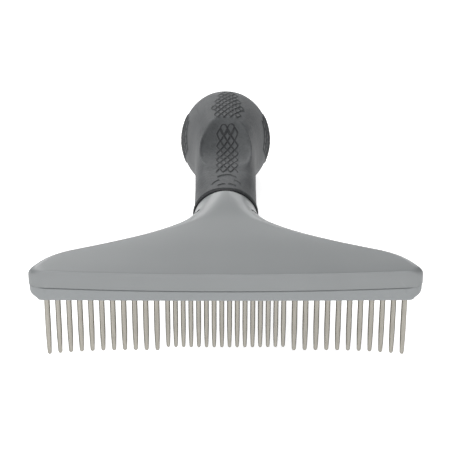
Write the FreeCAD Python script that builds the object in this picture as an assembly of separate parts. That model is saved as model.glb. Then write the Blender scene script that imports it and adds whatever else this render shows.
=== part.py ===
import FreeCAD, Part
import math
import os

# Undercoat rake: a T-shaped pet grooming rake with a row of free-turning steel pins.
#
# Millimetres, +Z up. X runs along the pin row, and Y runs back from the head to the end of
# the handle. The rake stands on its two end pins and on the underside of its handle, all at
# Z = 0, and the origin is the middle of the footprint.

# ---------------------------------------------------------------- driving dimensions
overall_length = 168.5
head_half_width = 77.1
crease_height = 41.2          # top front edge of the head
band_height = 7.5             # front wall of the head, from the crease down to the seam
front_bow = 2.6               # how far the middle of the front stands ahead of its ends
strip_depth = 11.0            # front to back
strip_mid_height = 4.45       # strip thickness in the middle of the row
strip_end_height = 5.8        # and at its ends, where the underside arches down
seam_inset = 0.25             # the strip stands back from the head by this much
skin = 2.4                    # wall thickness of the head mouldings

wide_pitch = 4.325            # pins of the two outer groups
narrow_pitch = 3.04           # pins of the middle group
wide_count = 11               # pins in each outer group
narrow_count = 16             # pins in the middle group
wide_pin_radius = 1.12
narrow_pin_radius = 0.98
pin_setback = 4.5             # from the front face to the pin axis
wide_flange_radius = 1.65
narrow_flange_radius = 1.32
flange_thickness = 1.0
flange_play = 0.05            # above and below a flange
pin_play = 0.06               # radial clearance of a pin in its bore
tip_rise = 3.2                # inner pins of an outer group end this far above the end pins
middle_tip_height = 4.85      # tips of the middle group above the table

collar_front = 58.8           # distances behind the foremost point of the head
grip_front = 61.0
collar_proud = 0.5            # the collar stands out from the rubber by this much

seam_height = crease_height - band_height
front_y = -overall_length / 2


def behind(distance):
    """Y of a point that lies this far behind the foremost point of the head."""
    return front_y + distance


def vector(x, y, z):
    return FreeCAD.Vector(x, y, z)


# ---------------------------------------------------------------- shape helpers
def smooth(rows, column, at):
    """A smooth curve through one column of a table whose first column rises."""
    xs = [row[0] for row in rows]
    ys = [row[column] for row in rows]
    steps = [b - a for a, b in zip(xs, xs[1:])]
    slopes = [(b - a) / step for a, b, step in zip(ys, ys[1:], steps)]
    tangents = [slopes[0]]
    for left, right, before, after in zip(slopes, slopes[1:], steps, steps[1:]):
        if left * right <= 0:
            tangents.append(0.0)
            continue
        weight_left = 2 * after + before
        weight_right = after + 2 * before
        tangents.append((weight_left + weight_right) / (weight_left / left + weight_right / right))
    tangents.append(slopes[-1])
    k = max(i for i in range(len(steps)) if i == 0 or xs[i] <= at)
    t = (at - xs[k]) / steps[k]
    return ((2 * t**3 - 3 * t**2 + 1) * ys[k] + (t**3 - 2 * t**2 + t) * steps[k] * tangents[k]
            + (3 * t**2 - 2 * t**3) * ys[k + 1] + (t**3 - t**2) * steps[k] * tangents[k + 1])


def box(low, high):
    size = [b - a for a, b in zip(low, high)]
    return Part.makeBox(size[0], size[1], size[2], vector(*low))


def cylinder(radius, base, length, direction=(0, 0, 1)):
    return Part.makeCylinder(radius, length, vector(*base), vector(*direction))


def ring_loft(sections):
    """Solid through upright ellipses given as (distance behind, height, half width, half height)."""
    wires = []
    for distance, height, half_width, half_height in sections:
        ellipse = Part.Ellipse(vector(0, 0, 0), max(half_width, half_height), min(half_width, half_height))
        edge = ellipse.toShape()
        if half_height > half_width:
            edge.rotate(vector(0, 0, 0), vector(0, 0, 1), 90)
        edge.rotate(vector(0, 0, 0), vector(1, 0, 0), 90)
        edge.translate(vector(0, behind(distance), height))
        wires.append(Part.Wire([edge]))
    return Part.makeLoft(wires, True, False)


def revolve(profile, x, y):
    """Solid of revolution about the upright line at x, y, from (radius, height) points."""
    points = [vector(x + radius, y, height) for radius, height in profile]
    face = Part.Face(Part.makePolygon(points + [points[0]]))
    return face.revolve(vector(x, y, 0), vector(0, 0, 1), 360)


# ---------------------------------------------------------------- head outline
def front_distance(x):
    """Distance of the bowed front face behind its foremost point."""
    return front_bow * (x / 70.0) ** 2


def plan_face(inset, height):
    """Outline of the head seen from above, drawn in by inset, as a face at a height."""
    end_x = 71.0
    front_end = vector(end_x, behind(front_distance(end_x) + inset), height)
    front_mid = vector(0, behind(inset), height)
    turn = vector(head_half_width - inset, behind(6.9), height)
    back_edge = [(76.2, 9.3), (73.9, 11.9), (70.0, 14.7), (65.2, 17.2), (56.4, 20.4), (45.0, 24.7),
                 (31, 31.7), (neck_half_width(blade_back) + 0.4, blade_back)]
    back = [turn] + [vector(x - 0.45 * inset, behind(distance - 0.9 * inset), height)
                     for x, distance in back_edge]

    def mirrored(point):
        return vector(-point.x, point.y, point.z)

    edges = [Part.Arc(mirrored(front_end), front_mid, front_end).toShape()]
    for side in (lambda point: point, mirrored):
        corner = Part.BSplineCurve()
        corner.interpolate([side(front_end), side(turn)], InitialTangent=side(vector(1, 0.07, 0)),
                           FinalTangent=vector(0, 1, 0))
        edges.append(corner.toShape())
        curve = Part.BSplineCurve()
        straight_back = vector(0, 1, 0)
        curve.interpolate([side(point) for point in back], Tangents=[straight_back] * len(back),
                          TangentFlags=[point is turn for point in back])
        edges.append(curve.toShape())
    edges.append(Part.makeLine(back[-1], mirrored(back[-1])))
    return Part.Face(Part.Wire(Part.__sortEdges__(edges)))


def plan_prism(inset, low, high):
    return plan_face(inset, low).extrude(vector(0, 0, high - low))


# distance behind the front, half width, top, underside, squareness
neck_stations = [
    (32.0, 28.0, 42.9, 29.9, 6.0),
    (36.0, 24.2, 43.3, 29.4, 6.0),
    (40.0, 20.1, 44.1, 27.4, 4.6),
    (44.0, 17.2, 44.6, 25.4, 3.6),
    (48.0, 15.2, 45.1, 23.5, 2.9),
    (52.0, 14.0, 45.5, 22.1, 2.4),
    (56.0, 13.3, 45.7, 21.2, 2.05),
    (58.8, 13.15, 45.75, 20.85, 1.9),
]
blade_back = 36.0             # the flat blade ends here and the slightly smaller neck goes on


def neck_half_width(distance):
    return smooth(neck_stations, 1, distance)


def rounded_wire(distance, half_width, top, under, square, count=32):
    """Closed curve around an upright section that is between an ellipse and a rectangle."""
    middle, reach = (top + under) / 2, (top - under) / 2
    points = []
    for step in range(count):
        angle = 2 * math.pi * (step + 0.5) / count
        across, up = math.cos(angle), math.sin(angle)
        x = half_width * math.copysign(abs(across) ** (2 / square), across)
        z = middle + reach * math.copysign(abs(up) ** (2 / square), up)
        points.append(vector(x, behind(distance), z))
    curve = Part.BSplineCurve()
    curve.interpolate(points, PeriodicFlag=True)
    return Part.Wire([curve.toShape()])


def neck_solid():
    """The part of the head that gathers the flat blade into the round neck."""
    upper = Part.makeLoft([rounded_wire(*station) for station in neck_stations], True, False)
    belly = ring_loft([(20, 35.2, 25.0, 6.2), (28, 34.8, 21.5, 7.6), (36, 34.4, 18.0, 9.2),
                       (45, 33.9, 14.6, 11.0), (54.5, 33.4, 12.9, 12.1)])
    return upper.fuse(belly)


def blade_solid():
    """The flat delta-shaped blade of the head, crowned on top, down to the strip's underside."""
    top = [(-5, 40.9), (0, crease_height), (12, 42.0), (25, 42.8), (40, 44.0), (50, 44.4)]
    low = seam_height - strip_mid_height
    curve = Part.BSplineCurve()
    curve.interpolate([vector(-90, behind(distance), height) for distance, height in top])
    first = vector(-90, behind(top[0][0]), low)
    last = vector(-90, behind(top[-1][0]), low)
    start = vector(-90, behind(top[0][0]), top[0][1])
    end = vector(-90, behind(top[-1][0]), top[-1][1])
    outline = Part.Wire([Part.makeLine(first, start), curve.toShape(), Part.makeLine(end, last),
                         Part.makeLine(last, first)])
    side_prism = Part.Face(outline).extrude(vector(180, 0, 0))
    return plan_prism(0.0, low - 1, 50).common(side_prism)


# ---------------------------------------------------------------- pins
def pin_places():
    """(x, shaft radius, flange radius, tip height) of every pin, from left to right."""
    middle_half = narrow_pitch * (narrow_count - 1) / 2
    outer_start = middle_half + wide_pitch
    reach = wide_pitch * (wide_count - 1)
    right = []
    for index in range(wide_count):
        along = wide_pitch * index
        tip = tip_rise * (1 - (along / reach) ** 2.2)
        right.append((outer_start + along, wide_pin_radius, wide_flange_radius, tip))
    left = [(-x, radius, flange, tip) for x, radius, flange, tip in reversed(right)]
    middle = []
    for index in range(narrow_count):
        x = -middle_half + narrow_pitch * index
        middle.append((x, narrow_pin_radius, narrow_flange_radius, middle_tip_height))
    return left + middle + right


def pin_y(x):
    return behind(front_distance(x) + pin_setback)


def pin_solid(x, radius, flange, tip):
    """One pin: flange, straight shaft, slender end and rounded tip."""
    top = seam_height - flange_play
    shoulder = top - flange_thickness
    end_radius = 0.82 * radius
    taper_start = tip + 0.42 * (shoulder - tip)
    profile = [(0, top), (flange, top), (flange, shoulder), (radius, shoulder), (radius, taper_start),
               (end_radius, tip + 2.4)]
    for step in range(0, 91, 15):
        angle = math.radians(step)
        profile.append((end_radius * math.cos(angle), tip + 1.15 * end_radius * (1 - math.sin(angle))))
    profile[-1] = (0, tip)
    return revolve(profile, x, pin_y(x))


# ---------------------------------------------------------------- strip and retainer
strip_screw_places = [(x, front_distance(x) + 8.6) for x in (-62.0, -37.0, -12.5, 12.5, 37.0, 62.0)]
strip_screw_shank = 0.9
strip_screw_head = 1.75
strip_screw_seat = seam_height - 2.6   # height that the screw heads pull against
strip_screw_length = 6.6               # shank without the head, as for the screws below
strip_screw_head_height = 1.1
screw_head_play = 0.05                 # radial clearance of a screw head in its hole
groove_depth = flange_thickness + 2 * flange_play
retainer_thickness = 1.5


def bowed_band(near, far, half_length, low, high):
    """A bar that follows the bowed front, between two distances behind it."""
    def arc(distance):
        ends = behind(front_distance(half_length) + distance)
        middle = vector(0, behind(distance), low)
        return vector(-half_length, ends, low), middle, vector(half_length, ends, low)

    front, back = arc(near), arc(far)
    edges = [Part.Arc(*front).toShape(), Part.makeLine(front[2], back[2]),
             Part.Arc(*reversed(back)).toShape(), Part.makeLine(back[0], front[0])]
    return Part.Face(Part.Wire(edges)).extrude(vector(0, 0, high - low))


def arched_under_space():
    """The space under the strip's arched underside, to be cut away."""
    half = head_half_width + 4
    mid = seam_height - strip_mid_height
    drop = (strip_end_height - strip_mid_height) * (half / 70.0) ** 2
    left, right = vector(-half, behind(-5), mid - drop), vector(half, behind(-5), mid - drop)
    low_left, low_right = vector(-half, behind(-5), mid - 20), vector(half, behind(-5), mid - 20)
    edges = [Part.Arc(left, vector(0, behind(-5), mid), right).toShape(), Part.makeLine(right, low_right),
             Part.makeLine(low_right, low_left), Part.makeLine(low_left, left)]
    return Part.Face(Part.Wire(edges)).extrude(vector(0, 30, 0))


def pin_strip():
    low = seam_height - strip_end_height - 2
    strip = plan_prism(seam_inset, low, seam_height)
    strip = strip.common(bowed_band(-5, strip_depth, head_half_width + 4, low, seam_height))
    strip = strip.cut(arched_under_space())
    groove = bowed_band(pin_setback - 2.0, pin_setback + 2.0, 72.6, seam_height - groove_depth, seam_height)
    cutters = [groove]
    for x, radius, flange, tip in pin_places():
        cutters.append(cylinder(radius + pin_play, (x, pin_y(x), low - 1), seam_height - low + 1))
    for x, distance in strip_screw_places:
        cutters.append(cylinder(strip_screw_shank, (x, behind(distance), low - 1), seam_height - low + 1))
        cutters.append(cylinder(strip_screw_head, (x, behind(distance), low - 1), strip_screw_seat - low + 1))
    return strip.cut(cutters)


def pin_retainer():
    plate = bowed_band(1.6 + skin, strip_depth - 0.6, 69.4, seam_height, seam_height + retainer_thickness)
    holes = [cylinder(strip_screw_shank, (x, behind(distance), seam_height - 1), retainer_thickness + 2)
             for x, distance in strip_screw_places]
    return plate.cut(holes)


def screw(base, length, shank, head_radius, head_height, direction=(0, 0, 1)):
    """A screw: flat round head with a socket at its base, then a plain shank."""
    along = vector(*direction)
    seat = vector(*base)
    head = Part.makeCylinder(head_radius, head_height, seat, along)
    socket = Part.makeCylinder(0.45 * head_radius, 0.5 * head_height, seat, along)
    body = Part.makeCylinder(shank, length, seat + along * head_height, along)
    return head.cut(socket).fuse(body)


def strip_screws():
    return Part.makeCompound([
        screw((x, behind(distance), strip_screw_seat - strip_screw_head_height), strip_screw_length,
              strip_screw_shank, strip_screw_head - screw_head_play, strip_screw_head_height)
        for x, distance in strip_screw_places])


# ---------------------------------------------------------------- head mouldings
cover_screw_places = [(-38.0, 20.0), (38.0, 20.0), (0.0, 26.5)]
cover_screw_shank = 1.1
cover_screw_head = 2.4
cover_seat_height = 30.4
cover_back = 42.0
tang_front = 40.0
tang_screw_places = [(-4.6, 51.0), (4.6, 51.0)]
tang_screw_shank = 1.1
tang_screw_head = 2.3
tang_seat_height = 23.6
cover_screw_length = 7.4
tang_screw_length = 9.0
large_screw_head_height = 1.3          # of the cover, tang and core screws
strip_boss_radius = 1.9                # posts that the screws go into
cover_boss_radius = 3.2
ceiling_height = crease_height - skin


def handle_core_outer():
    """Outside of the rigid core that runs through the neck into the bulb."""
    return ring_loft([(tang_front, 33.3, 8.6, 7.8), (collar_front, 33.2, 8.6, 8.0), (80, 31.7, 8.6, 8.0),
                      (97, 30.2, 8.9, 8.4), (112, 28.0, 10.2, 10.2), (127, 26.0, 13.2, 14.5),
                      (140, 24.4, 15.2, 17.2), (151, 22.2, 13.4, 15.6), (160, 20.3, 8.5, 10.5)])


def head_outer():
    return blade_solid().fuse(neck_solid()).removeSplitter()


def cover_zone(low, high):
    """The space behind the strip and ahead of the neck that the lower cover fills."""
    reach = head_half_width + 5
    back_half = box((-reach, behind(strip_depth), low), (reach, behind(cover_back), high))
    return back_half.cut(bowed_band(-5, strip_depth, reach - 1, low - 1, high + 1))


def front_cavity():
    """Room inside the head above the strip, for the retainer and the screw ends."""
    return bowed_band(1.2 + skin, strip_depth - 0.2, 69.8, seam_height - 0.5, ceiling_height)


# one side of the room inside the blade behind the strip: (x, distance behind the front)
room_corners = [(66.0, 12.6), (60.0, 15.6), (44.0, 21.8), (31.0, 28.2), (15.0, 32.4)]


def blade_room(low, high):
    """The room between the upper and lower mouldings of the blade."""
    right = [vector(x, behind(distance), low) for x, distance in room_corners]
    left = [vector(-x, behind(distance), low) for x, distance in reversed(room_corners)]
    outline = Part.makePolygon(right + left + right[:1])
    room = Part.Face(outline).extrude(vector(0, 0, high - low))
    front_wall = bowed_band(-5, strip_depth + 0.6, head_half_width + 4, low - 1, high + 1)
    core_seat = box((-15, behind(28), low - 1), (15, behind(60), high + 1))
    return room.cut([front_wall, core_seat])


def boss(x, distance, radius, low):
    return cylinder(radius, (x, behind(distance), low), ceiling_height + 0.8 - low)


def head_shell():
    low = seam_height - 30
    shell = head_outer()
    shell = shell.cut([cover_zone(low, seam_height),
                       bowed_band(-5, strip_depth, head_half_width + 4, low, seam_height)])
    shell = shell.cut([front_cavity(), blade_room(seam_height - 1, ceiling_height)])
    bosses = [boss(x, distance, strip_boss_radius, seam_height + retainer_thickness)
              for x, distance in strip_screw_places]
    bosses += [boss(x, distance, cover_boss_radius, seam_height) for x, distance in cover_screw_places]
    shell = shell.fuse(bosses)
    pilots = [cylinder(strip_screw_shank, (x, behind(distance), seam_height - 3), 8.2)
              for x, distance in strip_screw_places]
    pilots += [cylinder(cover_screw_shank, (x, behind(distance), cover_seat_height), 8.0)
               for x, distance in cover_screw_places]
    pilots += [cylinder(tang_screw_shank, (x, behind(distance), 10), 20) for x, distance in tang_screw_places]
    pilots += [cylinder(tang_screw_head, (x, behind(distance), 10), tang_seat_height - 10)
               for x, distance in tang_screw_places]
    return shell.cut(pilots + [handle_core_outer()])


def head_cover():
    cover = head_outer().common(cover_zone(seam_height - 30, seam_height))
    recess = blade_room(seam_height - 2.0, seam_height + 1)
    posts = [cylinder(cover_boss_radius, (x, behind(distance), seam_height - 2.4), 2.4)
             for x, distance in cover_screw_places]
    cover = cover.cut(recess).fuse(posts)
    holes = [handle_core_outer()]
    for x, distance in cover_screw_places:
        holes.append(cylinder(cover_screw_shank, (x, behind(distance), 10), 40))
        holes.append(cylinder(cover_screw_head, (x, behind(distance), 10), cover_seat_height - 10))
    return cover.cut(holes)


def cover_screws():
    return Part.makeCompound([
        screw((x, behind(distance), cover_seat_height - large_screw_head_height), cover_screw_length,
              cover_screw_shank, cover_screw_head - screw_head_play, large_screw_head_height)
        for x, distance in cover_screw_places])


def tang_screws():
    return Part.makeCompound([
        screw((x, behind(distance), tang_seat_height - large_screw_head_height), tang_screw_length,
              tang_screw_shank, tang_screw_head - screw_head_play, large_screw_head_height)
        for x, distance in tang_screw_places])


# ---------------------------------------------------------------- handle core
# distance behind the front, height, half length of the post around the screw
core_screw_places = [(72.0, 32.3, 7.3), (97.0, 30.2, 7.6), (138.0, 24.5, 13.7)]
core_screw_shank = 1.1
core_screw_head = 2.2
core_screw_seat = -6.4
core_screw_length = 11.5
core_end = 160
plug_height = 20.3
plug_radius = 4.0


def handle_core_hollow():
    return ring_loft([(66, 32.8, 6.0, 5.4), (80, 31.7, 6.2, 5.6), (97, 30.2, 6.5, 6.0), (112, 28.0, 7.8, 7.8),
                      (127, 26.0, 10.8, 12.1), (140, 24.4, 12.8, 14.8), (149, 22.6, 11.4, 13.4),
                      (155, 21.4, 8.4, 10.2)])


def core_plug():
    """Plug that closes the moulding opening at the end of the core."""
    stem = cylinder(plug_radius, (0, behind(153), plug_height), core_end - 153, (0, 1, 0))
    rim = cylinder(plug_radius + 1.6, (0, behind(core_end), plug_height), 1.4, (0, 1, 0))
    return stem.fuse(rim)


def handle_core_half(side):
    """One half of the core; side is -1 for the left half and +1 for the right."""
    core = handle_core_outer().cut(handle_core_hollow())
    core = core.fuse([cylinder(3.0, (-reach, behind(distance), height), 2 * reach, (1, 0, 0))
                      for distance, height, reach in core_screw_places])
    low, high = sorted((0.0, side * 40.0))
    core = core.common(box((low, behind(20), -20), (high, behind(180), 80)))
    holes = [cylinder(plug_radius, (0, behind(150), plug_height), 20, (0, 1, 0))]
    for distance, height, reach in core_screw_places:
        y = behind(distance)
        shank_room = core_screw_length + 0.5
        holes.append(cylinder(core_screw_shank, (core_screw_seat, y, height), shank_room, (1, 0, 0)))
        holes.append(cylinder(core_screw_head, (-30, y, height), 30 + core_screw_seat, (1, 0, 0)))
    for x, distance in tang_screw_places:
        holes.append(cylinder(tang_screw_shank, (x, behind(distance), tang_seat_height), 9.4))
    return core.cut(holes)


def core_screws():
    return Part.makeCompound([
        screw((core_screw_seat - large_screw_head_height, behind(distance), height), core_screw_length,
              core_screw_shank, core_screw_head - screw_head_play, large_screw_head_height, (1, 0, 0))
        for distance, height, reach in core_screw_places])


# ---------------------------------------------------------------- rubber grip
# distance behind the front, top, underside, half width, height of the widest point, squareness
grip_stations = [
    (57.5, 45.9, 20.8, 13.15, 33.2, 1.88),
    (68.5, 45.1, 20.2, 12.95, 32.6, 2.3),
    (78.5, 44.6, 19.3, 12.85, 32.0, 3.7),
    (88.5, 45.9, 18.3, 12.95, 31.3, 4.3),
    (97.5, 48.6, 17.0, 13.05, 30.4, 4.3),
    (105.5, 50.6, 15.3, 13.30, 29.6, 3.8),
    (113.5, 51.7, 12.9, 14.50, 28.6, 3.0),
    (122.5, 51.6, 9.6, 16.80, 27.6, 2.4),
    (131.5, 50.8, 5.9, 18.90, 26.4, 2.15),
    (140.5, 49.4, 2.3, 19.85, 25.0, 2.05),
]
# distance behind the front, height of the thumb scoop's floor, its rise per square of the half width
scoop_floor = [
    (55.5, 45.8, 0.0),
    (68.5, 45.05, 0.0),
    (80.5, 44.2, -0.002),
    (88.5, 43.4, -0.001),
    (94.5, 42.9, 0.002),
    (100.5, 43.1, 0.010),
    (104.5, 44.1, 0.026),
    (107.5, 45.8, 0.045),
    (111.5, 49.8, 0.060),
    (116.5, 55.4, 0.060),
    (124.5, 65.2, 0.060),
]
bulb_closing_power = 2.35
bulb_droop = 0.30             # fall of the bulb's middle line per unit of length
under_squareness = 1.9
rim_blend = 1.2               # rounding where the scoop meets the hump


def grip_section(distance):
    """(top, underside, half width, height of the widest point, squareness) at one place."""
    widest = grip_stations[-1][0]
    top, under, half_width, middle, square = [smooth(grip_stations, column, min(distance, widest))
                                              for column in range(1, 6)]
    if distance > widest:
        closing = (distance - widest) / (overall_length - widest)
        fullness = max(0.0, 1 - closing**bulb_closing_power) ** (1 / bulb_closing_power)
        centre = middle - bulb_droop * (distance - widest)
        top, under = centre + (top - middle) * fullness, centre - (middle - under) * fullness
        half_width, middle = half_width * fullness, centre
    return top, under, half_width, middle, square


def soft_minimum(a, b, blend):
    h = min(1.0, max(0.0, 0.5 + 0.5 * (b - a) / blend))
    return b * (1 - h) + a * h - blend * h * (1 - h)


def grip_point(distance, angle, section, proud=0.0):
    """Point of the grip's skin at an angle around its section, with the thumb scoop taken out."""
    top, under, half_width, middle, square = section
    across, up = math.cos(angle), math.sin(angle)
    power = 2 / (square if up >= 0 else under_squareness)
    x = (half_width + proud) * math.copysign(abs(across) ** power, across)
    reach = (top - middle if up >= 0 else middle - under) + proud
    z = middle + reach * math.copysign(abs(up) ** power, up)
    if up > 0 and distance < scoop_floor[-1][0]:
        scoop = smooth(scoop_floor, 1, distance) + smooth(scoop_floor, 2, distance) * x * x + proud
        z = soft_minimum(z, scoop, rim_blend)
    return vector(x, behind(distance), z)


def grip_wire(distance, proud=0.0):
    count = 40
    section = grip_section(distance)
    curve = Part.BSplineCurve()
    curve.interpolate([grip_point(distance, 2 * math.pi * (step + 0.5) / count, section, proud)
                       for step in range(count)], PeriodicFlag=True)
    return Part.Wire([curve.toShape()])


def rubber_grip():
    places = [grip_front, 66, 70, 75, 80, 85, 90, 94, 98, 102, 105.5, 108.5, 111.5, 115, 119, 123.5,
              128, 132, 136.5, 141, 145.5, 150, 154, 157.5, 160.5, 163, 165, 166.6, 167.7, 168.3,
              overall_length - 0.02]
    skin_solid = Part.makeLoft([grip_wire(place) for place in places], True, False)
    return skin_solid.cut([handle_core_outer(), core_plug()])


def collar():
    rings = [grip_wire(place, collar_proud) for place in (collar_front, grip_front)]
    return Part.makeLoft(rings, True, False).cut(handle_core_outer())


# ---------------------------------------------------------------- all pieces
def all_pieces():
    pieces = {
        "head_shell": head_shell(),
        "head_cover": head_cover(),
        "pin_strip": pin_strip(),
        "pin_retainer": pin_retainer(),
        "strip_screws": strip_screws(),
        "cover_screws": cover_screws(),
        "tang_screws": tang_screws(),
        "handle_core_left": handle_core_half(-1),
        "handle_core_right": handle_core_half(1),
        "core_screws": core_screws(),
        "core_plug": core_plug(),
        "collar": collar(),
        "rubber_grip": rubber_grip(),
    }
    for index, place in enumerate(pin_places(), start=1):
        pieces["pin_%02d" % index] = pin_solid(*place)
    return pieces


os.makedirs("parts", exist_ok=True)
for name, shape in all_pieces().items():
    bounds = shape.BoundBox
    print("%-18s solids %d valid %s volume %9.1f  x %.2f %.2f  y %.2f %.2f  z %.2f %.2f" % (
        name, len(shape.Solids), shape.isValid(), shape.Volume,
        bounds.XMin, bounds.XMax, bounds.YMin, bounds.YMax, bounds.ZMin, bounds.ZMax))
    shape.exportStep("parts/%s.step" % name)
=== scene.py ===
import math

import bmesh
import bpy
import numpy as np
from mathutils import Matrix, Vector


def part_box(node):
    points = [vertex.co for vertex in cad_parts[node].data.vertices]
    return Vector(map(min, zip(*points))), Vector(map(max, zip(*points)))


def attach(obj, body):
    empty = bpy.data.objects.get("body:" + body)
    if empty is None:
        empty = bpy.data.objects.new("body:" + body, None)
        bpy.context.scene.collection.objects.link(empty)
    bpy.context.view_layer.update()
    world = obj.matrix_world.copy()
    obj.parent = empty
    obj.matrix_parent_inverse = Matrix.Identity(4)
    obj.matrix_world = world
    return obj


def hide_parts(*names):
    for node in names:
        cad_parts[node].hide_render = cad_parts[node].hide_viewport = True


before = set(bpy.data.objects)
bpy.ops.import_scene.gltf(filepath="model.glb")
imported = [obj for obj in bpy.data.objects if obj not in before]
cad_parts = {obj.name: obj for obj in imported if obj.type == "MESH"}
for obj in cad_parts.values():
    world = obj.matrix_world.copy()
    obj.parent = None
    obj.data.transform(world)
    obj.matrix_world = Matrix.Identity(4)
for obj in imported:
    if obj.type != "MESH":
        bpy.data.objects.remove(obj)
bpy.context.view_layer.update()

# Lengths are millimetres in the object's frame until a mesh is made: X along the pins, Y from the
# head to the end of the handle, Z up. "Distance" is measured back from the head's foremost point.
MM = 0.001
front_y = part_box("pin_strip")[0].y / MM - 0.25
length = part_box("rubber_grip")[1].y / MM + 0.02 - front_y
seam_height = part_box("pin_strip")[1].z / MM
strip_mid_height = 4.45
strip_end_height = 5.8
head_half_width = 77.1
crease_height = 41.2
front_bow = 2.6
strip_depth = 11.0
cover_back = 42.0
seam_gap = 0.08               # the shell and the strip each stand back from the seam by this much
seam_chamfer = 0.30
collar_front, grip_front = 58.8, 61.0
collar_gap = 0.28             # dark line between the head and the collar


# ---------------------------------------------------------------- numbers
def smooth(rows, column, at):
    """A smooth curve through one column of a table whose first column rises."""
    xs = [row[0] for row in rows]
    ys = [row[column] for row in rows]
    steps = [b - a for a, b in zip(xs, xs[1:])]
    slopes = [(b - a) / step for a, b, step in zip(ys, ys[1:], steps)]
    tangents = [slopes[0]]
    for left, right, before, after in zip(slopes, slopes[1:], steps, steps[1:]):
        if left * right <= 0:
            tangents.append(0.0)
            continue
        weight_left = 2 * after + before
        weight_right = after + 2 * before
        tangents.append((weight_left + weight_right) / (weight_left / left + weight_right / right))
    tangents.append(slopes[-1])
    k = max(i for i in range(len(steps)) if i == 0 or xs[i] <= at)
    t = (at - xs[k]) / steps[k]
    return ((2 * t**3 - 3 * t**2 + 1) * ys[k] + (t**3 - 2 * t**2 + t) * steps[k] * tangents[k]
            + (3 * t**2 - 2 * t**3) * ys[k + 1] + (t**3 - t**2) * steps[k] * tangents[k + 1])


def signed_power(values, power):
    return np.sign(values) * np.abs(values) ** power


def front_distance(x):
    """Distance of the bowed front face behind its foremost point."""
    return front_bow * (x / 70.0) ** 2


# ---------------------------------------------------------------- meshes
def closed_mesh(name, points, faces):
    """Mesh of a closed shape, from points in millimetres, with its faces turned outwards."""
    mesh = bpy.data.meshes.new(name)
    mesh.from_pydata([tuple(MM * value for value in point) for point in points], [], faces)
    mesh.validate()
    shape = bmesh.new()
    shape.from_mesh(mesh)
    bmesh.ops.recalc_face_normals(shape, faces=shape.faces)
    shape.to_mesh(mesh)
    shape.free()
    return mesh


def new_piece(name, points, faces, material, body, replaced, sharp_angle=40):
    """A shown piece, which rides on a body and stands for its replaced nodes."""
    mesh = closed_mesh(name, points, faces)
    piece = bpy.data.objects.new(name, mesh)
    bpy.context.scene.collection.objects.link(piece)
    mesh.materials.append(material)
    shade(piece, sharp_angle)
    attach(piece, body)
    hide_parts(*replaced)
    return piece


def shade(piece, sharp_angle):
    piece.data.shade_smooth()
    piece.data.set_sharp_from_angle(angle=math.radians(sharp_angle))


def stepped_hole(low, head_radius, seat, shank_radius, high):
    """Profile of a screw's hole: wide for its head up to the seat, then narrow for its shank."""
    return [(0, low), (head_radius, low), (head_radius, seat), (shank_radius, seat),
            (shank_radius, high), (0, high)]


def carve(piece, cutters, sharp_angle=40, cut_material=None):
    """Cuts closed shapes, each given as (points, faces), out of a piece."""
    points, faces = [], []
    for cutter_points, cutter_faces in cutters:
        faces += [[index + len(points) for index in face] for face in cutter_faces]
        points += cutter_points
    mesh = closed_mesh("cutter", points, faces)
    cutter = bpy.data.objects.new("cutter", mesh)
    bpy.context.scene.collection.objects.link(cutter)
    holes = piece.modifiers.new("holes", "BOOLEAN")
    holes.operation = "DIFFERENCE"
    holes.solver = "EXACT"
    holes.object = cutter
    if cut_material is not None:
        mesh.materials.append(cut_material)
        holes.material_mode = "TRANSFER"
    bpy.context.view_layer.update()
    graph = bpy.context.evaluated_depsgraph_get()
    carved = bpy.data.meshes.new_from_object(piece.evaluated_get(graph))
    piece.modifiers.clear()
    piece.data = carved
    bpy.data.objects.remove(cutter)
    shade(piece, sharp_angle)


def ring_faces(rows, columns):
    """Quads of a tube whose rings all have the same number of points."""
    faces = []
    for row in range(rows - 1):
        for column in range(columns):
            after = (column + 1) % columns
            faces.append((row * columns + column, row * columns + after,
                          (row + 1) * columns + after, (row + 1) * columns + column))
    return faces


def revolved(profile, x, y, segments=32):
    """Points and faces of a closed turning about the upright line at x, y, from (radius, height)."""
    points, faces, rings = [], [], []
    for radius, height in profile:
        start = len(points)
        if radius == 0:
            points.append((x, y, height))
            rings.append([start] * segments)
            continue
        for step in range(segments):
            angle = 2 * math.pi * step / segments
            points.append((x + radius * math.cos(angle), y + radius * math.sin(angle), height))
        rings.append(list(range(start, start + segments)))
    for upper, lower in zip(rings, rings[1:]):
        for step in range(segments):
            after = (step + 1) % segments
            corners = [upper[step], upper[after], lower[after], lower[step]]
            faces.append(tuple(dict.fromkeys(corners)))
    return points, [face for face in faces if len(face) > 2]


# ---------------------------------------------------------------- materials
def new_material(name, colour, roughness, metallic=0.0):
    material = bpy.data.materials.new(name)
    material.use_nodes = True
    tree = material.node_tree
    shader = next(node for node in tree.nodes if node.type == "BSDF_PRINCIPLED")
    shader.inputs["Base Color"].default_value = (*colour, 1)
    shader.inputs["Roughness"].default_value = roughness
    shader.inputs["Metallic"].default_value = metallic
    return material, tree, shader


def place_coordinates(tree, stretch=(1, 1, 1)):
    """The object's own coordinates, stretched."""
    source = tree.nodes.new("ShaderNodeTexCoord")
    mapping = tree.nodes.new("ShaderNodeMapping")
    mapping.inputs["Scale"].default_value = stretch
    tree.links.new(source.outputs["Object"], mapping.inputs["Vector"])
    return mapping.outputs["Vector"]


def noise(tree, coordinates, scale, detail=3.0, roughness=0.55):
    node = tree.nodes.new("ShaderNodeTexNoise")
    node.inputs["Scale"].default_value = scale
    node.inputs["Detail"].default_value = detail
    node.inputs["Roughness"].default_value = roughness
    tree.links.new(coordinates, node.inputs["Vector"])
    return node.outputs["Fac"]


def cells(tree, coordinates, scale):
    node = tree.nodes.new("ShaderNodeTexVoronoi")
    node.inputs["Scale"].default_value = scale
    tree.links.new(coordinates, node.inputs["Vector"])
    return node.outputs["Distance"]


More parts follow.
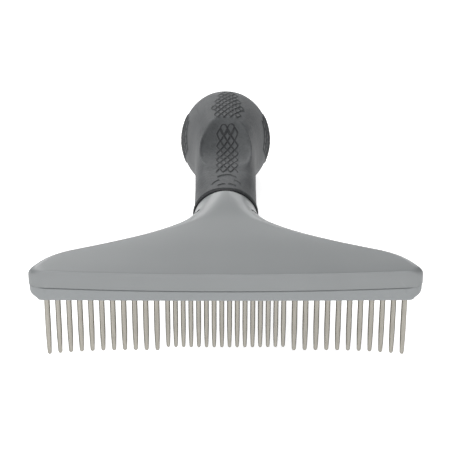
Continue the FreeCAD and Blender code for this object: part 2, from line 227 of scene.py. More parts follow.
def ramp(tree, value, stops):
    """Colour ramp over a value; stops are (place, colour)."""
    node = tree.nodes.new("ShaderNodeValToRGB")
    elements = node.color_ramp.elements
    for index, (place, colour) in enumerate(stops):
        element = elements[index] if index < 2 else elements.new(place)
        element.position = place
        element.color = (*colour, 1)
    tree.links.new(value, node.inputs["Fac"])
    return node.outputs["Color"]


def spread(tree, value, low, high):
    """Rescales a 0 to 1 value."""
    node = tree.nodes.new("ShaderNodeMapRange")
    node.inputs["To Min"].default_value = low
    node.inputs["To Max"].default_value = high
    tree.links.new(value, node.inputs["Value"])
    return node.outputs["Result"]


def bump(tree, height, strength, distance, under=None):
    node = tree.nodes.new("ShaderNodeBump")
    node.inputs["Strength"].default_value = strength
    node.inputs["Distance"].default_value = distance
    tree.links.new(height, node.inputs["Height"])
    if under is not None:
        tree.links.new(under, node.inputs["Normal"])
    return node.outputs["Normal"]


def tinted(colour, factor):
    return tuple(channel * factor for channel in colour)


def satin_plastic(name, colour, roughness=0.40):
    """Moulded plastic with a fine spark-eroded texture and faint flow variation."""
    material, tree, shader = new_material(name, colour, roughness)
    place = place_coordinates(tree)
    flow = noise(tree, place, 28.0, 2.0)
    tint = ramp(tree, flow, [(0.25, tinted(colour, 0.965)), (0.75, tinted(colour, 1.03))])
    tree.links.new(tint, shader.inputs["Base Color"])
    fine = noise(tree, place, 2600.0, 2.0)
    rough = spread(tree, noise(tree, place, 160.0), roughness - 0.05, roughness + 0.06)
    tree.links.new(rough, shader.inputs["Roughness"])
    tree.links.new(bump(tree, fine, 0.12, 0.00008), shader.inputs["Normal"])
    shader.inputs["Specular IOR Level"].default_value = 0.45
    shader.inputs["Coat Weight"].default_value = 0.10
    shader.inputs["Coat Roughness"].default_value = 0.05
    return material


def grained_rubber(name, colour, groove_shade_colour, roughness=0.62, gloss=0.40):
    """Soft rubber with a fine leathery grain; its engraved grooves are darkened with painted shade."""
    material, tree, shader = new_material(name, colour, roughness)
    place = place_coordinates(tree)
    blotches = noise(tree, place, 420.0, 5.0, 0.75)
    tint = ramp(tree, blotches, [(0.3, tinted(colour, 0.82)), (0.7, tinted(colour, 1.20))])
    # the groove attribute blends in the groove colour: painted shade along the engraved lines
    groove = tree.nodes.new("ShaderNodeAttribute")
    groove.attribute_name = "groove"
    mix = tree.nodes.new("ShaderNodeMix")
    mix.data_type = "RGBA"
    colour_inputs = [socket for socket in mix.inputs if socket.type == "RGBA"]
    colour_outputs = [socket for socket in mix.outputs if socket.type == "RGBA"]
    colour_inputs[1].default_value = (*groove_shade_colour, 1)
    tree.links.new(groove.outputs["Fac"], mix.inputs[0])
    tree.links.new(tint, colour_inputs[0])
    tree.links.new(colour_outputs[0], shader.inputs["Base Color"])
    grain = cells(tree, place, 1500.0)
    wander = noise(tree, place, 900.0, 3.0, 0.55)
    coarse = bump(tree, wander, 0.60, 0.0004)
    tree.links.new(bump(tree, grain, 0.30, 0.00012, coarse), shader.inputs["Normal"])
    rough = spread(tree, noise(tree, place, 420.0), roughness - 0.06, roughness + 0.08)
    tree.links.new(rough, shader.inputs["Roughness"])
    shader.inputs["Specular IOR Level"].default_value = gloss
    return material


def ground_steel(name, colour, roughness=0.30):
    """Stainless steel drawn along Z, with fine lengthwise lines."""
    material, tree, shader = new_material(name, colour, roughness, 1.0)
    drawn = place_coordinates(tree, (1, 1, 0.035))
    lines = noise(tree, drawn, 5200.0, 3.0, 0.6)
    tint = ramp(tree, lines, [(0.3, tinted(colour, 0.80)), (0.7, tinted(colour, 1.12))])
    tree.links.new(tint, shader.inputs["Base Color"])
    shader.inputs["Specular Tint"].default_value = (0.10, 0.10, 0.10, 1)
    tree.links.new(spread(tree, lines, roughness - 0.07, roughness + 0.09), shader.inputs["Roughness"])
    tree.links.new(bump(tree, lines, 0.05, 0.00003), shader.inputs["Normal"])
    return material


def turned_steel(name, colour, roughness=0.34):
    """Plated screw steel, faintly mottled."""
    material, tree, shader = new_material(name, colour, roughness, 1.0)
    place = place_coordinates(tree)
    mottle = noise(tree, place, 1400.0, 3.0)
    tint = ramp(tree, mottle, [(0.3, tinted(colour, 0.85)), (0.7, tinted(colour, 1.1))])
    tree.links.new(tint, shader.inputs["Base Color"])
    tree.links.new(spread(tree, mottle, roughness - 0.06, roughness + 0.1), shader.inputs["Roughness"])
    return material


head_plastic = satin_plastic("head_plastic", (0.214, 0.224, 0.227))
strip_plastic = satin_plastic("strip_plastic", (0.229, 0.241, 0.246))
# near-black material for the walls of the neck slits: painted shade standing in for the shadow inside the
# slots
slit_painted_shade = satin_plastic("slit_painted_shade", (0.008, 0.008, 0.009), 0.8)
retainer_plastic = satin_plastic("retainer_plastic", (0.74, 0.73, 0.69), 0.5)
core_plastic = satin_plastic("core_plastic", (0.045, 0.045, 0.05), 0.5)
# each rubber's second colour is painted shade for engraved grooves
collar_rubber = grained_rubber("collar_rubber", (0.018, 0.019, 0.021), (0.01, 0.01, 0.01), 0.7, 0.2)
grip_rubber = grained_rubber("grip_rubber", (0.069, 0.073, 0.076), (0.012, 0.013, 0.015))
pin_steel = ground_steel("pin_steel", (0.33, 0.315, 0.282), 0.22)
screw_steel = turned_steel("screw_steel", (0.52, 0.52, 0.53))


# ---------------------------------------------------------------- head
corner_start = 71.0           # the front face is flat out to here, then the plan corner begins
corner_depth = 3.4
# (x, distance) of the screws that show from underneath
cover_screw_places = [(-38.0, 20.0), (38.0, 20.0), (0.0, 26.5)]
tang_screw_places = [(-4.6, 51.0), (4.6, 51.0)]
crown_depth, crown_drop = 0.6, 2.8      # the front face leans back over its upper part
crease_groove = 0.14
seam_round = (0.3, 0.3)       # rounding of the edges beside the seams: across and up
slit_half_length, slit_half_width = 1.6, 0.50
slit_depth, slit_clearance = 2.2, 1.6   # below and above the middle of the slit

# distance behind the bowed front, half width of the head seen from above
outline = [(2.4, 77.1), (3.4, 77.1), (4.7, 76.6), (6.8, 74.9), (9.4, 72.7), (12.0, 69.8), (15.0, 65.2),
           (19.0, 56.4), (24.0, 45.2), (28.0, 37.0), (32.0, 29.9), (36.0, 24.2), (40.0, 19.9), (44.0, 17.1),
           (48.0, 15.1), (52.0, 13.95), (56.0, 13.3), (58.8, 13.1)]
# distance, height of the top's middle line, how far the top falls towards its edges
head_top = [(0.0, 41.2, 0.0), (6.0, 41.85, 0.12), (12.0, 42.4, 0.35), (25.0, 43.5, 0.75), (32.0, 43.9, 0.8),
            (40.0, 44.3, 0.4), (44.0, 44.65, 0.2), (48.0, 45.1, 0.0), (52.0, 45.5, 0.0), (56.0, 45.7, 0.0),
            (58.8, 45.75, 0.0)]
# distance, then the rounding of the upper edge: across and up, and of the lower edge: across and up
edge_rounding = [(0.0, 3.2, 2.4, 0.4, 0.4), (2.0, 4.4, 3.3, 1.2, 1.2), (4.3, 4.6, 3.6, 2.0, 2.2),
                 (8.0, 4.2, 3.2, 2.2, 2.4), (14.0, 3.8, 3.0, 2.4, 2.4), (24.0, 4.6, 3.0, 3.0, 2.4),
                 (30.0, 7.4, 3.3, 4.0, 2.8), (36.0, 10.6, 4.7, 7.0, 4.2), (40.0, 12.0, 6.3, 9.4, 5.8),
                 (44.0, 12.7, 8.0, 11.0, 7.5), (48.0, 12.9, 9.6, 12.0, 9.5), (52.0, 12.9, 11.0, 12.4, 11.0),
                 (56.0, 12.9, 12.0, 12.6, 12.0), (58.8, 12.95, 12.5, 12.7, 12.4)]
# distance, height of the underside near its edges, and on the middle line
head_under = [(11.0, 29.25, 29.25), (16.0, 29.25, 29.15), (20.0, 29.25, 28.8), (28.0, 29.1, 27.2),
              (36.0, 27.6, 25.2), (40.0, 26.2, 24.2), (44.0, 24.6, 23.2), (48.0, 23.2, 22.3),
              (52.0, 22.1, 21.7), (56.0, 21.3, 21.1), (58.8, 20.9, 20.9)]
# distance, squareness of the rounded edges
edge_squareness = [(0.0, 2.1), (40.0, 2.1), (50.0, 2.0), (58.8, 1.88)]


def corner_half_width(share, half_width):
    """Half width at a share of the way round the plan corner, which ends at half_width."""
    return corner_start + (half_width - corner_start) * math.sqrt(1 - (1 - share) ** 2)


def outline_half_width(distance):
    if distance < corner_depth:
        return corner_half_width(distance / corner_depth, head_half_width)
    return smooth(outline, 1, distance)


def bow_share(distance):
    """How much of the front's bow the section at this distance still follows."""
    fading = min(1.0, max(0.0, (distance - strip_depth) / (34.0 - strip_depth)))
    return 1 - fading * fading * (3 - 2 * fading)


def section_ring(distance, half_width, upper, lower, upper_round, lower_round, columns=72):
    """Closed ring around one section of the head, from functions for its upper and lower faces."""
    power = 2 / smooth(edge_squareness, 1, distance)
    flat = np.linspace(-1, 1, columns)
    turn = np.linspace(0, math.pi / 2, 13)
    up_x = (half_width - upper_round[0]) * flat
    low_x = (half_width - lower_round[0]) * flat[::-1]
    edge_top, edge_low = upper(up_x[-1]) - upper_round[1], lower(low_x[0]) + lower_round[1]
    round_x = half_width - upper_round[0] + upper_round[0] * np.sin(turn[1:]) ** power
    round_z = edge_top + upper_round[1] * np.cos(turn[1:]) ** power
    wall_z = np.linspace(edge_top, edge_low, 7)[1:-1]
    under_x = half_width - lower_round[0] + lower_round[0] * np.cos(turn[:-1]) ** power
    under_z = edge_low - lower_round[1] * np.sin(turn[:-1]) ** power
    side_x = np.concatenate([round_x, np.full(len(wall_z), half_width), under_x])
    side_z = np.concatenate([round_z, wall_z, under_z])
    xs = np.concatenate([up_x, side_x, low_x, -side_x[::-1]])
    zs = np.concatenate([upper(up_x), side_z, lower(low_x), side_z[::-1]])
    ys = front_y + distance + front_distance(xs) * bow_share(distance)
    return np.column_stack([xs, ys, zs]), columns, len(side_x)


def end_faces(start, columns, side):
    """Faces that close a ring of section_ring: quads between its upper and lower lines."""
    low_start = start + columns + side
    faces = []
    for column in range(columns - 1):
        faces.append((start + column, start + column + 1,
                      low_start + columns - 2 - column, low_start + columns - 1 - column))
    right = [start + columns - 1 + step for step in range(side + 2)]
    left = [low_start + columns - 1 + step for step in range(side + 1)] + [start]
    return faces + [tuple(right), tuple(left)]


def lofted(rings):
    """Points and faces of a closed body through rings of section_ring."""
    columns, side = rings[0][1], rings[0][2]
    size = len(rings[0][0])
    points = np.concatenate([ring[0] for ring in rings])
    faces = ring_faces(len(rings), size)
    faces += end_faces(0, columns, side) + end_faces((len(rings) - 1) * size, columns, side)
    return points.tolist(), faces


def corner_distances(first, steps):
    """Distances that run evenly around the plan corner of the head."""
    return [corner_depth - (corner_depth - first) * math.cos(math.radians(90 * step / steps))
            for step in range(steps)]


def top_face(distance):
    height, fall = smooth(head_top, 1, distance), smooth(head_top, 2, distance)
    reach = outline_half_width(distance)
    if distance < crown_depth:
        height -= crown_drop * (1 - math.sqrt(distance / crown_depth))
    groove = crease_groove * max(0.0, 1 - abs(distance - crown_depth - 0.3) / 0.3)
    return lambda x: height - fall * (x / reach) ** 2 - groove * np.clip((71.0 - np.abs(x)) / 6.0, 0, 1)


def under_face(distance):
    edge, middle = smooth(head_under, 1, distance), smooth(head_under, 2, distance)
    reach = 0.42 * outline_half_width(max(distance, 33.0))
    return lambda x: edge - (edge - middle) * np.exp(-(x / reach) ** 2)


def level(height):
    return lambda x: np.full_like(x, height) if isinstance(x, np.ndarray) else height


def head_shell():
    crown = [crown_depth * (step / 10) ** 2 for step in range(11)]
    crease = [crown_depth + 0.15, crown_depth + 0.3, crown_depth + 0.45, crown_depth + 0.6]
    front = crown + crease + [d for d in corner_distances(0.0, 20) if d > crease[-1] + 0.05]
    open_part = front + list(np.linspace(corner_depth, 34, 24)) + list(np.linspace(35, cover_back, 8))
    neck_part = [cover_back] + list(np.linspace(cover_back + 0.6, collar_front - collar_gap, 22))
    rings = []
    for distance in open_part:
        across, up = smooth(edge_rounding, 1, distance), smooth(edge_rounding, 2, distance)
        chamfer = max(0.0, seam_chamfer - distance)
        rings.append(section_ring(distance, outline_half_width(distance), top_face(distance),
                                  level(seam_height + seam_gap + chamfer), (across, up), seam_round))
    for distance in neck_part:
        rounding = [smooth(edge_rounding, column, distance) for column in range(1, 5)]
        rings.append(section_ring(distance, outline_half_width(distance), top_face(distance),
                                  under_face(distance), rounding[:2], rounding[2:]))
    points, faces = lofted(rings)
    piece = new_piece("head_top_shell", points, faces, head_plastic, "rake", ["head_shell"])
    hole = stepped_hole(10, 2.4, 24.2, 1.2, 28)
    carve(piece, [revolved(hole, x, front_y + distance) for x, distance in tang_screw_places])
    # the slits' walls take the near-black material: painted shade inside the slots
    carve(piece, [neck_slit(side) for side in (-1, 1)], cut_material=slit_painted_shade)


def neck_slit(side):
    """Points and faces of a narrow slot in one shoulder of the neck, which opens to the front."""
    centre = Vector((side * 11.85, front_y + 47.6, 41.9))
    along = Vector((side * 1.56, -0.8, -1.33)).normalized()
    outward = Vector((side * 0.45, -0.62, 0.64)).normalized()
    across = along.cross(outward).normalized()
    points = []
    for rise in (-slit_depth, slit_clearance):
        for x, y in [(-1, -1), (1, -1), (1, 1), (-1, 1)]:
            corner = slit_half_length * x * along + slit_half_width * y * across
            points.append(tuple(centre + corner + rise * outward))
    return points, [(0, 1, 2, 3), (4, 5, 6, 7), (0, 1, 5, 4), (1, 2, 6, 5), (2, 3, 7, 6), (3, 0, 4, 7)]


def head_cover():
    distances = [strip_depth + 0.08] + list(np.linspace(strip_depth + 0.4, cover_back - 0.4, 34))
    distances.append(cover_back - 0.05)
    rings = []
    for distance in distances:
        across, up = smooth(edge_rounding, 3, distance), smooth(edge_rounding, 4, distance)
        half_width = outline_half_width(distance) - 0.02
        rings.append(section_ring(distance, half_width, level(seam_height - seam_gap),
                                  under_face(distance), seam_round, (across, up)))
    points, faces = lofted(rings)
    piece = new_piece("head_lower_cover", points, faces, head_plastic, "rake", ["head_cover"])
    hole = stepped_hole(20, 2.5, 30.5, 1.15, 36)
    carve(piece, [revolved(hole, x, front_y + distance) for x, distance in cover_screw_places])


# ---------------------------------------------------------------- strip and pins
wide_pitch, narrow_pitch = 4.325, 3.04
wide_count, narrow_count = 11, 16
wide_pin_radius, narrow_pin_radius = 1.12, 0.98
pin_setback = 4.5
tip_rise, middle_tip_height = 3.2, 4.85
pad_end = 72.4                # the underside's raised pad ends here, just past the last pin
pad_height = 0.7
strip_screw_xs = (-62.0, -37.0, -12.5, 12.5, 37.0, 62.0)
strip_screw_setback = 8.6
bore_play = 0.13              # radial gap around a pin, a little more than the CAD's so that it shows
strip_inset = 0.25            # the strip stands back from the head by this much


def pin_places():
    """(x, shaft radius, tip height) of every pin, from left to right."""
    middle_half = narrow_pitch * (narrow_count - 1) / 2
    reach = wide_pitch * (wide_count - 1)
    right = []
    for index in range(wide_count):
        along = wide_pitch * index
        tip = tip_rise * (1 - (along / reach) ** 2.2)
        right.append((middle_half + wide_pitch + along, wide_pin_radius, tip))
    left = [(-x, radius, tip) for x, radius, tip in reversed(right)]
    middle = [(-middle_half + narrow_pitch * index, narrow_pin_radius, middle_tip_height)
              for index in range(narrow_count)]
    return left + middle + right


def strip_under(x):
    """Height of the strip's arched underside, with the pad that the pins stand in."""
    arch = seam_height - strip_mid_height - (strip_end_height - strip_mid_height) * (x / 70.0) ** 2
    step = np.clip((np.abs(x) - pad_end) / 0.5, 0, 1)
    return arch + pad_height * step * step * (3 - 2 * step)


def pin_strip():
    inset = strip_inset
    distances = [inset + shift for shift in (0.0, 0.04, 0.12, 0.25, 0.42)]
    distances += [d for d in corner_distances(inset, 14) if d > inset + 0.5]
    distances += list(np.linspace(corner_depth, strip_depth - 0.02, 10))
    rings = []
    for distance in distances:
        front_share = min(1.0, max(0.0, (distance - inset) / 0.45))
        lift = 0.45 * (1 - math.sqrt(1 - (1 - front_share) ** 2))
        chamfer = max(0.0, seam_chamfer - (distance - inset))
        turning = (distance - inset) / (corner_depth - inset)
        if turning < 1:
            half_width = corner_half_width(turning, head_half_width - inset)
        else:
            half_width = outline_half_width(distance) - inset
        grown = math.sqrt(min(1.0, turning))
        lower_round = (0.4 + 3.0 * grown, 0.4 + 3.2 * grown)
        rings.append(section_ring(distance, half_width, level(seam_height - seam_gap - chamfer),
                                  lambda x: strip_under(x) + lift, seam_round, lower_round, 160))
    points, faces = lofted(rings)
    piece = new_piece("pin_carrier_strip", points, faces, strip_plastic, "rake", ["pin_strip"],
                      30)
    cutters = []
    for x, radius, tip in pin_places():
        bore = radius + bore_play
        y = front_y + front_distance(x) + pin_setback
        cutters.append(revolved([(0, 20), (bore, 20), (bore, 40), (0, 40)], x, y, 28))
    hole = stepped_hole(20, 1.85, 31.2, 0.95, 40)
    for x in strip_screw_xs:
        cutters.append(revolved(hole, x, front_y + front_distance(x) + strip_screw_setback, 28))
    carve(piece, cutters, 30)


def pins():
    for index, (x, radius, tip) in enumerate(pin_places(), start=1):
        node = "pin_%02d" % index
        end_radius = 0.74 * radius
        top = seam_height - 0.1
        straight_end = tip + 0.36 * (top - tip)
        nose = tip + 1.0
        profile = [(0, top), (radius, top)]
        profile += [(radius, top + (straight_end - top) * step / 4) for step in range(1, 5)]
        for step in range(1, 13):
            share = step / 12
            narrowed = radius + (end_radius - radius) * share**1.35
            profile.append((narrowed, straight_end + (nose - straight_end) * share))
        for step in range(1, 9):
            angle = math.radians(90 * step / 8)
            profile.append((end_radius * math.cos(angle) ** 0.9, nose - (nose - tip) * math.sin(angle)))
        profile[-1] = (0, tip)
        points, faces = revolved(profile, x, front_y + front_distance(x) + pin_setback, 36)
        new_piece("steel_" + node, points, faces, pin_steel, node, [node], 50)


# ---------------------------------------------------------------- grip
# distance, top, underside, half width, height of the widest point, squareness
grip_stations = [
    (57.5, 45.9, 20.8, 13.15, 33.2, 1.88),
    (68.5, 45.1, 20.2, 12.95, 32.6, 2.3),
    (78.5, 44.6, 19.3, 12.85, 32.0, 3.3),
    (88.5, 45.9, 18.3, 12.95, 31.3, 3.2),
    (97.5, 48.6, 17.0, 13.05, 30.4, 3.0),
    (105.5, 50.6, 15.3, 13.30, 29.6, 2.9),
    (113.5, 51.7, 12.9, 14.50, 28.6, 2.7),
    (122.5, 51.6, 9.6, 16.80, 27.6, 2.4),
    (131.5, 50.8, 5.9, 18.90, 26.4, 2.15),
    (140.5, 49.4, 2.3, 19.85, 25.0, 2.05),
]
# distance, height of the thumb scoop's floor, its rise per square of the half width
scoop_floor = [
    (55.5, 45.8, 0.0),
    (68.5, 45.05, 0.0),
    (80.5, 44.2, -0.002),
    (88.5, 43.4, -0.001),
    (94.5, 42.9, 0.002),
    (100.5, 43.1, 0.010),
    (104.5, 44.1, 0.026),
    (107.5, 45.8, 0.045),
    (111.5, 49.8, 0.060),
    (116.5, 55.4, 0.060),
    (124.5, 65.2, 0.060),
]
bulb_closing_power = 2.35
bulb_droop = 0.30             # fall of the bulb's middle line per unit of length
under_squareness = 1.9
rim_blend = 1.2               # rounding where the scoop meets the hump
rim_bead = 0.75               # the scoop's rim stands up by this much
rim_bead_reach = [(61.0, 0.0), (78.0, 0.0), (86.0, 1.0), (102.0, 1.0), (109.0, 0.0), (169.0, 0.0)]

top_columns, side_columns = 34, 48
groove_half_width = 0.40
groove_depth = 0.40
engraving_start = 62.5        # the engraved pattern is laid out from this distance along the top
far_away = 9.0                # stands for a distance to an engraved line that doesn't matter
lip_height = 0.48             # the grip's front edge stands up by this much


def grip_section(distance):
    """(top, underside, half width, height of the widest point, squareness) at one place."""
    widest = grip_stations[-1][0]
    top, under, half_width, middle, square = [smooth(grip_stations, column, min(distance, widest))
                                              for column in range(1, 6)]
    if distance > widest:
        closing = (distance - widest) / (length - widest)
        fullness = max(0.0, 1 - closing**bulb_closing_power) ** (1 / bulb_closing_power)
        centre = middle - bulb_droop * (distance - widest)
        top, under = centre + (top - middle) * fullness, centre - (middle - under) * fullness
        half_width, middle = half_width * fullness, centre
    return top, under, half_width, middle, square


def soft_minimum(a, b, blend):
    h = np.clip(0.5 + 0.5 * (b - a) / blend, 0, 1)
    return b * (1 - h) + a * h - blend * h * (1 - h)


def grip_points(distance, angles, proud=0.0):
    """Points of the grip's skin at angles around its section, with the thumb scoop taken out."""
    top, under, half_width, middle, square = grip_section(distance)
    across, up = np.cos(angles), np.sin(angles)
    power = np.where(up >= 0, 2 / square, 2 / under_squareness)
    x = (half_width + proud) * signed_power(across, power)
    reach = np.where(up >= 0, top - middle, middle - under) + proud
    z = middle + reach * signed_power(up, power)
    if distance < scoop_floor[-1][0]:
        scoop = smooth(scoop_floor, 1, distance) + smooth(scoop_floor, 2, distance) * x * x + proud
        bead = rim_bead * smooth(rim_bead_reach, 1, distance) * np.exp(-(((z - scoop) / 1.1) ** 2))
        z = np.where(up > 0, soft_minimum(z, scoop, rim_blend) + bead, z)
    return np.column_stack([x, np.full(len(x), front_y + distance), z])


def grip_angles(distance):
    """Angles around the section: close together over the engraved stretches on top and sides."""
    half_width, square = grip_section(distance)[2], grip_section(distance)[4]
    reach = min(8.6, 0.45 * half_width)
    top_x = np.linspace(reach, -reach, 2 * top_columns + 1)
    top = np.arccos(signed_power(top_x / max(half_width, 0.01), square / 2))
    first = top[0]
    side = np.linspace(math.radians(-24), math.radians(37), side_columns)
    flank = np.linspace(side[-1], first, 10)[1:-1]
    under = np.linspace(math.radians(-90), side[0], 13)[:-1]
    right = np.concatenate([under, side, flank])
    left = math.pi - right[::-1]
    return np.concatenate([right, top, left[:-1]])


def centre_line():
    """Distances along the grip with the length of its top line up to each."""
    ahead = np.linspace(grip_front, 140.5, 900)
    back = 140.5 + (length - 0.03 - 140.5) * np.sin(np.linspace(0, math.pi / 2, 500))[1:]
    distances = np.concatenate([ahead, back])
    top = np.array([grip_points(distance, np.array([math.pi / 2]))[0] for distance in distances])
    steps = np.linalg.norm(np.diff(top, axis=0), axis=1)
    return distances, np.concatenate([[0.0], np.cumsum(steps)])


class Lattice:
    """A field of engraved diamonds in rows, given as the number of cells in each row."""

    def __init__(self, first_row, row_step, half_cell, counts, last_squareness=1.12, last_height=1.0):
        self.first_row, self.row_step, self.half_cell = first_row, row_step, half_cell
        self.counts, self.squareness = counts, [1.12] * (len(counts) - 1) + [last_squareness]
        self.last_height = last_height

    def distance(self, u, v):
        """Distance from points to the nearest engraved line; u runs across, v along the rows."""
        nearest = np.full(u.shape, far_away)
        for row, count in enumerate(self.counts):
            p = self.squareness[row]
            row_v = self.first_row + row * self.row_step
            close = np.abs(v - row_v) < 1.6 * self.row_step
            if not close.any():
                continue
            for cell in range(count):
                cell_u = (2 * cell - count + 1) * self.half_cell
                a = np.abs(u[close] - cell_u) / self.half_cell
                b = np.abs(v[close] - row_v) / self.row_step
                if row == len(self.counts) - 1:
                    b = np.where(v[close] > row_v, b / self.last_height, b)
                size = (a**p + b**p) ** (1 / p)
                slope = np.hypot(a ** (p - 1) / self.half_cell, b ** (p - 1) / self.row_step)
                slope = slope * np.maximum(size, 0.05) ** (1 - p)
                nearest[close] = np.minimum(nearest[close], np.abs(size - 1) / slope)
        return nearest


scoop_lattice = Lattice(14.6, 3.09, 1.53, [3, 2] * 6, 1.75, 0.62)
hump_lattice = Lattice(51.7, 2.40, 1.42, [4, 3, 4, 3, 4, 5, 4, 3, 4, 3, 2, 3, 2])
side_lattice = Lattice(124.5, 2.45, 2.6, [1, 2, 3, 4, 3, 4, 3, 4, 3, 2, 1])
side_lattice_rise = 3.2       # its middle line is this far above the widest line of the bulb

# engraved strokes at the front of the grip, as (across, along) points of their right halves
front_strokes = [[(0.0, 12.1), (2.0, 11.5), (3.85, 9.9)], [(3.2, 7.1), (4.7, 6.0), (6.1, 4.1)],
                 [(0.7, 3.2), (2.2, 3.0), (3.6, 2.0)]]


def rubber_grip():
    distances, along = centre_line()
    rows = np.linspace(0, along[-1], 560)
    places = np.interp(rows, along, distances)
    grid = np.array([grip_points(place, grip_angles(place)) for place in places])
    grooves = engraving(grid, places, rows - (engraving_start - grip_front))
    along_rows = np.gradient(grid, axis=0)
    around = np.roll(grid, -1, axis=1) - np.roll(grid, 1, axis=1)
    normals = np.cross(around, along_rows)
    normals /= np.maximum(np.linalg.norm(normals, axis=2, keepdims=True), 1e-9)
    grid = grid - normals * (groove_depth * grooves)[..., None]
    count = grid.shape[1]
    lip = [(-1.2, 0.0), (0.22, 0.0), (0.44, 0.06), (0.52, 0.20), (0.50, 0.35)]
    front_rings = []
    for proud, further in lip:
        ring = grip_points(grip_front, grip_angles(grip_front), proud)
        ring[:, 1] += further
        front_rings.append(ring)
    eased = np.clip((places - grip_front - 0.35) / 0.9, 0, 1)
    raised = lip_height * (1 - eased * eased * (3 - 2 * eased))
    grid = grid + normals * raised[:, None, None]
    keep = places > grip_front + 0.40
    points = np.concatenate(front_rings + [grid[keep].reshape(-1, 3)])
    ring_count = len(front_rings) + int(keep.sum())
    faces = ring_faces(ring_count, count)
    faces.append(tuple(range(count)))
    last = (ring_count - 1) * count
    faces.append(tuple(last + index for index in range(count)))
    piece = new_piece("rubber_handle_grip", points.tolist(), faces, grip_rubber, "rake", ["rubber_grip"],
                      60)
    # the engraving share, stored as the groove attribute, also darkens the rubber's colour: painted shade
    # in the grooves
    values = np.concatenate([np.zeros(len(front_rings) * count), grooves[keep].reshape(-1)])
    attribute = piece.data.attributes.new("groove", "FLOAT", "POINT")
    attribute.data.foreach_set("value", values.astype(np.float32))


def engraving(grid, places, rows):
    """How deep each point of the grip lies in an engraved line, from 0 to 1."""
    x = grid[:, :, 0]
    v = np.repeat(rows[:, None], grid.shape[1], axis=1)
    sections = np.array([grip_section(place) for place in places])
    half_widths, middles = sections[:, 2], sections[:, 3]
    on_top = np.abs(x) < np.minimum(9.0, 0.46 * half_widths)[:, None]
    on_top &= grid[:, :, 2] > middles[:, None]
    twist = 0.38 + 0.0075 * v     # the pattern on top runs slightly askew
    scoop = scoop_lattice.distance(x - twist, v)
    hump = hump_lattice.distance(x - twist, v)
    nearest = np.where(v > scoop_lattice.first_row - 0.2, scoop, far_away)
    nearest = np.minimum(nearest, np.where(v > 53.6, hump, far_away))
    for stroke in front_strokes:
        for start, end in zip(stroke, stroke[1:]):
            nearest = np.minimum(nearest, line_distance(np.abs(x - twist), v, start, end))
    nearest = np.where(on_top, nearest, far_away)
    nearest = np.minimum(nearest, side_engraving(grid, places, half_widths, middles))
    share = np.clip(1 - nearest / groove_half_width, 0, 1)
    return share * share * (3 - 2 * share)


def line_distance(u, v, start, end):
    """Distance from points to a straight stroke between two points."""
    step_u, step_v = end[0] - start[0], end[1] - start[1]
    share = ((u - start[0]) * step_u + (v - start[1]) * step_v) / (step_u**2 + step_v**2)
    share = np.clip(share, 0, 1)
    return np.hypot(u - start[0] - share * step_u, v - start[1] - share * step_v)


def side_engraving(grid, places, half_widths, middles):
    """Distance to the lattice on the two sides of the bulb."""
    u = grid[:, :, 2] - middles[:, None]
    v = np.repeat(places[:, None], grid.shape[1], axis=1)
    nearest = side_lattice.distance(u - side_lattice_rise, v)
    return np.where(np.abs(grid[:, :, 0]) > 0.62 * half_widths[:, None], nearest, far_away)


def collar():
    """Ring between the head and the grip: a tube whose section is a band with rounded edges."""
    band = [(-collar_gap, -1.3), (-collar_gap, -0.45), (0.0, -0.35), (0.0, 0.14), (0.06, 0.30),
            (0.20, 0.41), (0.42, 0.44), (1.1, 0.38), (1.78, 0.30), (2.02, 0.24), (2.14, 0.12),
            (2.18, -0.05), (2.18, -1.3)]
    angles = np.linspace(0, 2 * math.pi, 161)[:-1] + 0.01
    rings = [grip_points(collar_front + shift, angles, proud) for shift, proud in band]
    points = np.concatenate(rings)
    count = len(angles)
    faces = ring_faces(len(rings), count)
    last = (len(rings) - 1) * count
    for index in range(count):
        after = (index + 1) % count
        faces.append((last + index, last + after, after, index))
    new_piece("neck_collar", points.tolist(), faces, collar_rubber, "rake", ["collar"], 50)


head_shell()
head_cover()
pin_strip()
pins()
collar()
rubber_grip()

for node, material in (("pin_retainer", retainer_plastic), ("handle_core_left", core_plastic),
                       ("handle_core_right", core_plastic), ("core_plug", core_plastic),
                       ("strip_screws", screw_steel), ("cover_screws", screw_steel),
                       ("tang_screws", screw_steel), ("core_screws", screw_steel)):
    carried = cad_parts[node]
    carried.data.materials.clear()
    carried.data.materials.append(material)


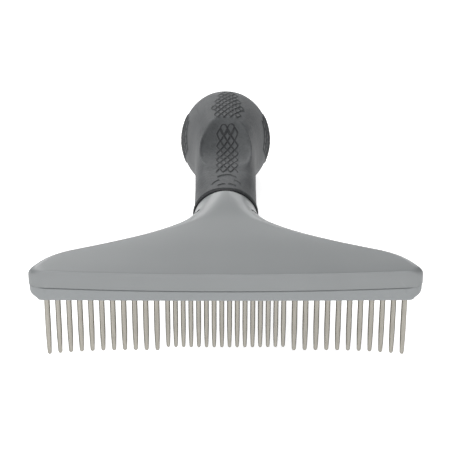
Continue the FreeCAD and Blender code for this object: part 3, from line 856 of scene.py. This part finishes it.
# ---------------------------------------------------------------- floor, light, camera
def floor():
    mesh = bpy.data.meshes.new("studio_floor")
    half = 4.0
    corners = [(-half, -half, 0), (half, -half, 0), (half, half, 0), (-half, half, 0)]
    mesh.from_pydata(corners, [], [(0, 1, 2, 3)])
    piece = bpy.data.objects.new("studio_floor", mesh)
    bpy.context.scene.collection.objects.link(piece)
    material, tree, shader = new_material("floor_paper", (0.75, 0.75, 0.75), 0.8)
    shader.inputs["Emission Color"].default_value = (1, 1, 1, 1)
    shader.inputs["Emission Strength"].default_value = 0.74
    mesh.materials.append(material)
    piece.location.z = -0.0002


def area_light(name, place, target, size, power):
    data = bpy.data.lights.new(name, "AREA")
    data.shape = "RECTANGLE"
    data.size, data.size_y = size
    data.energy = power
    light = bpy.data.objects.new(name, data)
    light.location = place
    light.rotation_euler = (Vector(target) - Vector(place)).to_track_quat("-Z", "Y").to_euler()
    bpy.context.scene.collection.objects.link(light)


def studio():
    world = bpy.data.worlds.new("studio")
    bpy.context.scene.world = world
    world.use_nodes = True
    background = world.node_tree.nodes["Background"]
    background.inputs["Color"].default_value = (0.95, 0.97, 1.0, 1)
    background.inputs["Strength"].default_value = 0.06
    area_light("key", (-0.60, 0.80, 0.90), (0, 0, 0.03), (0.8, 0.8), 9.0)
    area_light("back", (0.02, 1.35, 0.56), (0, 0, 0.03), (1.5, 0.5), 8.0)
    area_light("top", (-0.10, -0.35, 1.15), (0, 0, 0.03), (0.8, 0.6), 8.0)
    area_light("front", (-0.10, -1.20, 0.30), (0, 0, 0.03), (1.2, 0.5), 5.2)
    for side in (-1, 1):
        area_light("spark", (side * 0.75, -0.65, 0.60), (side * 0.07, -0.08, 0.04), (0.06, 0.06), 0.9)


def camera():
    """Camera in front of the head, looking down along the handle."""
    aim = Vector((0, (front_y + 0.25) * MM, crease_height * MM))
    reach = 0.749
    sideways = -0.00027
    place_elevation = math.radians(32.0)
    view_elevation = math.radians(30.513)
    data = bpy.data.cameras.new("camera")
    data.sensor_width = 36.0
    data.lens = 155.0
    data.clip_start = 0.05
    data.clip_end = 20.0
    piece = bpy.data.objects.new("camera", data)
    away = Vector((0, -math.cos(place_elevation), math.sin(place_elevation)))
    piece.location = aim + Vector((sideways, 0, 0)) + reach * away
    piece.rotation_euler = (math.pi / 2 - view_elevation, 0, 0)
    bpy.context.scene.collection.objects.link(piece)
    bpy.context.scene.camera = piece


floor()
studio()
camera()
bpy.context.scene.view_settings.view_transform = "Standard"
